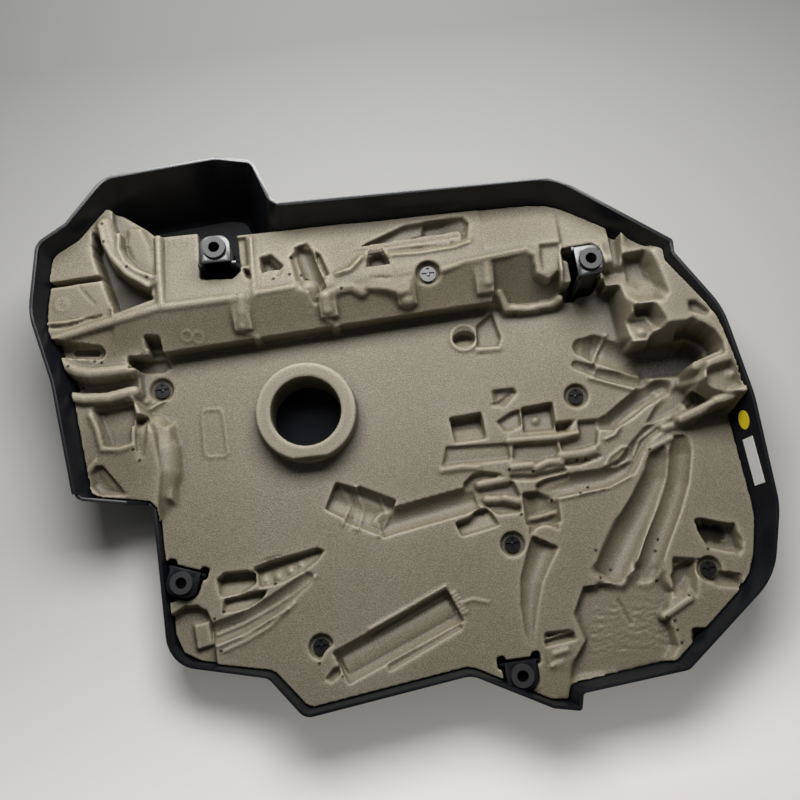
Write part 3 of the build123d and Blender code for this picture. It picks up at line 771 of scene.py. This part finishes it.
# crest of the band with its tongues, studs and troughs
def shapeBand():
    bead((-119, 162, 58.5, 2.2), (-119, 104, 69, 2.2))
    bead((-118, 106, 69, 4), (-84, 108, 69, 4))
    press([(-34, 108), (-24, 97), (-2, 93), (10, 87), (22, 89), (27, 108)], 66.5, 2, 5, 4)
    bead((-54, 99, 66.5, 6), (-43, 103, 67.5, 6), (-32, 104, 67.5, 6), (-23, 99, 66.5, 6))
    bead(
        (52, 110, 68, 4), (70, 114, 68.5, 4), (99, 117, 68.5, 4), (129, 120, 68.5, 4), (137, 115, 67.5, 4),
        (139, 100, 64, 4), (146, 96, 62, 4), (153, 101, 63, 3.5),
    )
    press([(140, 124), (139, 98), (146, 94), (157, 101), (162, 124)], 63, 3, 5, 3)
    bead((102, 90, 45, 4), (108, 76, 39, 4), (127, 74, 37, 4), (151, 76, 38, 4), (157, 79, 42, 4))
    # tongues over the front of the crest
    for points in (
        [(-146, 108), (-118, 108), (-112, 66), (-146, 64)],
        [(-68, 100), (-44, 104), (-40, 68), (-70, 68)],
        [(2, 104), (32, 106), (34, 74), (2, 72)],
        [(76, 114), (104, 116), (104, 76), (76, 76)],
    ):
        relax(points, 5, 4)
    bead((-132, 104, 68, 8), (-132, 90, 65, 8), (-133, 82, 61, 7))
    bead((-133, 81, 57, 6), (-122, 73, 50, 5))
    bead((-56, 97, 67, 7), (-56, 87, 63, 6.5))
    bead((-58, 84, 58, 6), (-50, 76, 50, 5))
    bead((15, 100, 67, 8), (17, 89, 63, 8))
    bead((91, 116, 68, 7), (91, 97, 64, 6.5))
    # troughs
    dig([(-113, 143), (-104, 143), (-91, 126), (-95, 119), (-111, 122)], 7, 2, 7, 2.5)
    dig([(-134, 166), (-123, 166), (-122, 134), (-132, 133)], 5, 2, 4, 2)
    dig([(-129, 134), (-122, 131), (-120, 118), (-126, 123)], 12, 1.5, 3, 1.5)
    dig([(-86, 138), (-76, 151), (-64, 145), (-55, 123), (-53, 111), (-64, 104), (-74, 101), (-82, 113)], 6, 2, 8, 4)
    dig([(-63, 144), (-57, 139), (-50, 116), (-55, 114), (-61, 131)], 8, 1.5, 3, 1.5)
    bead((-71, 107, 65.5, 9), (-72, 98, 62, 8.5), (-72, 89, 57, 7.5))
    dig([
        (-15, 131), (-8, 136), (0, 135), (5, 126), (11, 110), (1, 104), (-16, 107), (-19, 119),
    ], 9, 2.5, 6, 3, deepFront=1)
    ridge([(-20, 130), (-31, 119), (-43, 116)], 4, 3.5)
    dig([
        (-45, 130), (-29, 136), (36, 150), (39, 161), (77, 162), (82, 154), (78, 137), (65, 133), (33, 131),
        (7, 132), (-19, 135),
    ], 6, 3, 5, 3)
    ridge([(7, 129), (33, 128), (65, 130), (79, 134)], 3, 2.2)
    pits((-10, 140), (50, 142), (105, 142), radius=38, strength=0.08)
    pits((-84, 139), (-86, 121), (-76, 121), (-101, 118), (-41, 102), (-72, 119))


# blocks on the right
def shapeRight():
    bead((239, 121, 72, 6), (247, 118, 73, 6))
    carve([(196, 121), (221, 121), (235, 117), (246, 120), (244, 106), (231, 103), (216, 102), (196, 106)], 64, 5, 6, 5)
    carve([(192, 99), (241, 99), (244, 88), (246, 56), (233, 54), (216, 58), (192, 64)], 46, 4, 13, 9, 0.35)
    press([(212, 51), (232, 52), (236, 39), (230, 24), (212, 25)], 56, 2, 2, 2)
    carve([(192, 50), (233, 52), (237, 39), (231, 22), (192, 22)], 44, 4, 9, 7, 0.35)
    mound(223, 35, 7, 6)
    carve([(264, 55), (272, 54), (284, 42), (277, 38), (267, 43)], 64, 2, 7, 3)
    carve([
        (254, 35), (266, 38), (278, 31), (285, 16), (286, 6), (277, 1), (266, -1), (260, 8), (252, 20),
    ], 30, 3, 12, 4, 0.2)
    bead((264, -4, 62, 5), (281, 1, 66, 5), (293, 4, 68, 5))
    carve([(268, -8), (294, -3), (300, -14), (303, -28), (284, -36), (273, -32), (268, -20)], 61, 4, 6, 5)
    mound(293, -15, 6, 5)
    mound(278, -32, 6, 5)
    bead((250, -45, 42, 5), (264, -41, 50, 5), (278, -36, 58, 5), (292, -33, 62, 5))
    relax([(198, 132), (250, 124), (250, 98), (198, 96)], 8, 2)
    pits((243, 9), (230, 12), (258, 12), radius=16, strength=0.34)
    pits((272, 18), radius=13, strength=0.38)
    relax([(200, 135), (262, 122), (310, 60), (310, -44), (240, -44), (200, 16)], 4, 3)


# melts the fine steps along the front edge of the lower right recess
frontEdge = {"from": 104, "to": 212, "fade": 6, "before": -240, "fadeBack": 5, "above": 9, "fadeUp": 3,
             "share": 0.7, "rounds": 20}


def softenEdge(mesh):
    readMesh(mesh)
    x, y, z = clay["x"], clay["y"], clay["z"]
    share = frontEdge["share"] * ease((x - frontEdge["from"]) / frontEdge["fade"])
    share *= ease((frontEdge["to"] - x) / frontEdge["fade"])
    share *= ease((frontEdge["before"] - y) / frontEdge["fadeBack"])
    share *= ease((z - frontEdge["above"]) / frontEdge["fadeUp"])
    even = np.ones(len(share))
    for turn in range(frontEdge["rounds"]):
        for name in ("x", "y", "z"):
            clay[name] = clay[name] + (neighbourMean(clay[name], even) - clay[name]) * share
    writeMesh(mesh)


def remeshFoam(foam):
    remesh = foam.modifiers.new("even", "REMESH")
    remesh.mode = "VOXEL"
    remesh.voxel_size = mould["voxel"]
    remesh.use_smooth_shade = True
    soft = foam.modifiers.new("soft", "SMOOTH")
    soft.iterations = mould["softRounds"]
    soft.factor = mould["softShare"]
    bakeModifiers(foam)


# a copy of a CAD piece under a new name, and its points merged in a bmesh
def copyPiece(node, name, mergeGap):
    mesh = nodes[node].data.copy()
    obj = bpy.data.objects.new(name, mesh)
    scene.collection.objects.link(obj)
    bm = bmesh.new()
    bm.from_mesh(mesh)
    bmesh.ops.remove_doubles(bm, verts=bm.verts, dist=mergeGap)
    return obj, bm


def makeFoam():
    foam, bm = copyPiece("foam_liner", "mouldedFoam", mould["mergeGap"])
    bm.to_mesh(foam.data)
    bm.free()
    remeshFoam(foam)
    readMesh(foam.data)
    clay["pits"] = []
    shapeCentre()
    shapeHoses()
    shapeFront()
    shapeLeft()
    shapeBand()
    shapeRight()
    writeMesh(foam.data)
    remeshFoam(foam)
    softenEdge(foam.data)
    markFoam(foam.data)
    print("foam faces", len(foam.data.polygons))
    giveMaterial(foam, foamMaterial())
    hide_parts("foam_liner")
    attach(foam, "root")


makeFoam()


# one tone that wanders between two colours, with a fine grain in the gloss and the surface
def grainMaterial(name, dark, light, cloudScale, grainScale, roughness, grainBump, grainDepth=0.0003):
    mat, tree, shader = newMaterial(name, dark, roughness[0])
    cloud = addNoise(tree, cloudScale, 4.0, 0.6)
    grain = addNoise(tree, grainScale, 2.0, 0.5)
    tree.links.new(addMix(tree, cloud, (*dark, 1), (*light, 1)), shader.inputs["Base Color"])
    tree.links.new(addRange(tree, grain, 0.0, 1.0, *roughness), shader.inputs["Roughness"])
    addBump(tree, shader, grain, grainBump, grainDepth)
    return mat, tree, shader


# shell: near-black moulded plastic, satin on the plates and dull on the floor of the tray and steep walls
shellGrain = {
    "dark": (0.0050, 0.0058, 0.0080),
    "light": (0.0080, 0.0092, 0.0125),
    "cloudScale": 9.0,
    "grainScale": 1400.0,
    "roughness": (0.24, 0.36),
    "grainBump": 0.10,
}
shellShine = {
    "dullBelow": 0.012,
    "satinFrom": 0.080,
    "dull": 0.06,
    "steep": 0.3,
    "flat": 0.9,
    "steepShare": 0.22,
}


def shellMaterial():
    mat, tree, shader = grainMaterial("shellPlastic", **shellGrain)
    height = oneAxis(tree, objectPlace(tree), "Z")
    shine = addRange(tree, height, shellShine["dullBelow"], shellShine["satinFrom"], shellShine["dull"])
    normal = tree.nodes.new("ShaderNodeNewGeometry").outputs["Normal"]
    slope = oneAxis(tree, normal, "Z")
    flat = addRange(tree, slope, shellShine["steep"], shellShine["flat"], shellShine["steepShare"])
    tree.links.new(addMath(tree, "MULTIPLY", shine, flat), shader.inputs["Specular IOR Level"])
    return mat


# the shell again with its sharp edges eased
shellEase = {"mergeGap": 0.00001, "width": 0.0008, "segments": 2, "coplanar": 1.0, "sharp": 35.0, "smoothBelow": 24.0}


def makeShell():
    shell, bm = copyPiece("cover_shell", "easedShell", shellEase["mergeGap"])
    bmesh.ops.dissolve_limit(bm, angle_limit=radians(shellEase["coplanar"]), verts=bm.verts, edges=bm.edges)
    sharp = [e for e in bm.edges if e.is_manifold and e.calc_face_angle(0) > radians(shellEase["sharp"])]
    bmesh.ops.bevel(bm, geom=sharp, offset=shellEase["width"], offset_type="OFFSET", affect="EDGES",
                    segments=shellEase["segments"], profile=0.5, material=-1, clamp_overlap=True)
    for face in bm.faces:
        face.smooth = True
    for edge in bm.edges:
        edge.smooth = edge.is_manifold and edge.calc_face_angle(0) < radians(shellEase["smoothBelow"])
    bm.to_mesh(shell.data)
    bm.free()
    print("shell faces", len(shell.data.polygons))
    giveMaterial(shell, shellMaterial())
    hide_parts("cover_shell")
    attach(shell, "root")


makeShell()

# colours and grain of the small pieces, by material slot
smallLooks = {
    "grommet_rubber": {
        "dark": (0.026, 0.026, 0.028), "light": (0.042, 0.042, 0.044),
        "cloudScale": 60.0, "grainScale": 1600.0, "roughness": (0.32, 0.48), "grainBump": 0.15,
    },
    "clip_plastic": {
        "dark": (0.010, 0.010, 0.011), "light": (0.018, 0.018, 0.019),
        "cloudScale": 80.0, "grainScale": 1800.0, "roughness": (0.14, 0.26), "grainBump": 0.06,
    },
    "label_white": {
        "dark": (0.86, 0.86, 0.84), "light": (0.92, 0.92, 0.90),
        "cloudScale": 120.0, "grainScale": 1500.0, "roughness": (0.45, 0.60), "grainBump": 0.05,
    },
    "sticker_yellow": {
        "dark": (0.88, 0.66, 0.010), "light": (0.96, 0.74, 0.020),
        "cloudScale": 150.0, "grainScale": 1500.0, "roughness": (0.45, 0.60), "grainBump": 0.05,
    },
}
made = {slot: grainMaterial(slot, **look)[0] for slot, look in smallLooks.items()}
for part in frame["record"]["subparts"]:
    if part["material_slot"] in made:
        giveMaterial(nodes[part["node"]], made[part["material_slot"]])
print("materials given")

# pale floor that runs darker toward the back, with a glow at the front that only the camera sees
floorLook = {
    "half": 4.0,
    "drop": 0.0005,
    "roughness": 0.7,
    "front": (0.80, 0.785, 0.75),
    "back": (0.25, 0.25, 0.245),
    "from": -0.32,
    "to": 0.42,
    "glow": 0.27,
    "glowTo": -0.05,
    "glowColor": (1.0, 0.97, 0.90),
}


def makeFloor():
    bm = bmesh.new()
    bmesh.ops.create_grid(bm, x_segments=1, y_segments=1, size=floorLook["half"])
    mesh = bpy.data.meshes.new("floor")
    bm.to_mesh(mesh)
    bm.free()
    floor = bpy.data.objects.new("floor", mesh)
    scene.collection.objects.link(floor)
    floor.location.z = -floorLook["drop"]
    mat, tree, shader = newMaterial("paleFloor", floorLook["front"], floorLook["roughness"])
    depth = oneAxis(tree, objectPlace(tree), "Y")
    share = addRange(tree, depth, floorLook["from"], floorLook["to"])
    tone = addMix(tree, share, (*floorLook["front"], 1), (*floorLook["back"], 1))
    tree.links.new(tone, shader.inputs["Base Color"])
    glow = addRange(tree, depth, floorLook["from"], floorLook["glowTo"], floorLook["glow"], 0.0)
    seen = tree.nodes.new("ShaderNodeLightPath").outputs["Is Camera Ray"]
    tree.links.new(addMath(tree, "MULTIPLY", glow, seen), shader.inputs["Emission Strength"])
    shader.inputs["Emission Color"].default_value = (*floorLook["glowColor"], 1)
    giveMaterial(floor, mat)


# one soft lamp behind the cover and a little light from all round
lampSet = {
    "place": (0.02, 0.55, 0.77),
    "aim": (0.0, 0.03, 0.03),
    "size": (0.86, 0.43),
    "power": 12.0,
    "world": 0.07,
}


def makeLight():
    lamp = bpy.data.lights.new("backSoftbox", "AREA")
    lamp.shape = "RECTANGLE"
    lamp.size, lamp.size_y = lampSet["size"]
    lamp.energy = lampSet["power"]
    obj = bpy.data.objects.new("backSoftbox", lamp)
    scene.collection.objects.link(obj)
    place = Vector(lampSet["place"])
    obj.location = place
    obj.rotation_euler = (Vector(lampSet["aim"]) - place).to_track_quat("-Z", "Y").to_euler()
    world = bpy.data.worlds.new("studio")
    world.use_nodes = True
    background = world.node_tree.nodes["Background"]
    background.inputs["Color"].default_value = (1, 1, 1, 1)
    background.inputs["Strength"].default_value = lampSet["world"]
    scene.world = world


cameraSet = {
    "tilt": 13.0,
    "roll": 6.5,
    "distance": 0.950,
    "aim": (0.00115, 0.02685, 0.040),
    "lens": 47.5,
    "sensor": 36.0,
}


def makeCamera():
    tilt, roll = radians(cameraSet["tilt"]), radians(cameraSet["roll"])
    right = Vector((cos(roll), -sin(roll), 0))
    ahead = Vector((sin(roll) * sin(tilt), cos(roll) * sin(tilt), -cos(tilt)))
    up = right.cross(ahead)
    data = bpy.data.cameras.new("photoCamera")
    data.lens = cameraSet["lens"]
    data.sensor_width = cameraSet["sensor"]
    cam = bpy.data.objects.new("photoCamera", data)
    scene.collection.objects.link(cam)
    turn = Matrix((right, up, -ahead)).transposed().to_4x4()
    place = Vector(cameraSet["aim"]) - ahead * cameraSet["distance"]
    cam.matrix_world = Matrix.Translation(place) @ turn
    scene.camera = cam


makeFloor()
makeLight()
makeCamera()
scene.view_settings.view_transform = "Standard"
print("stage set")
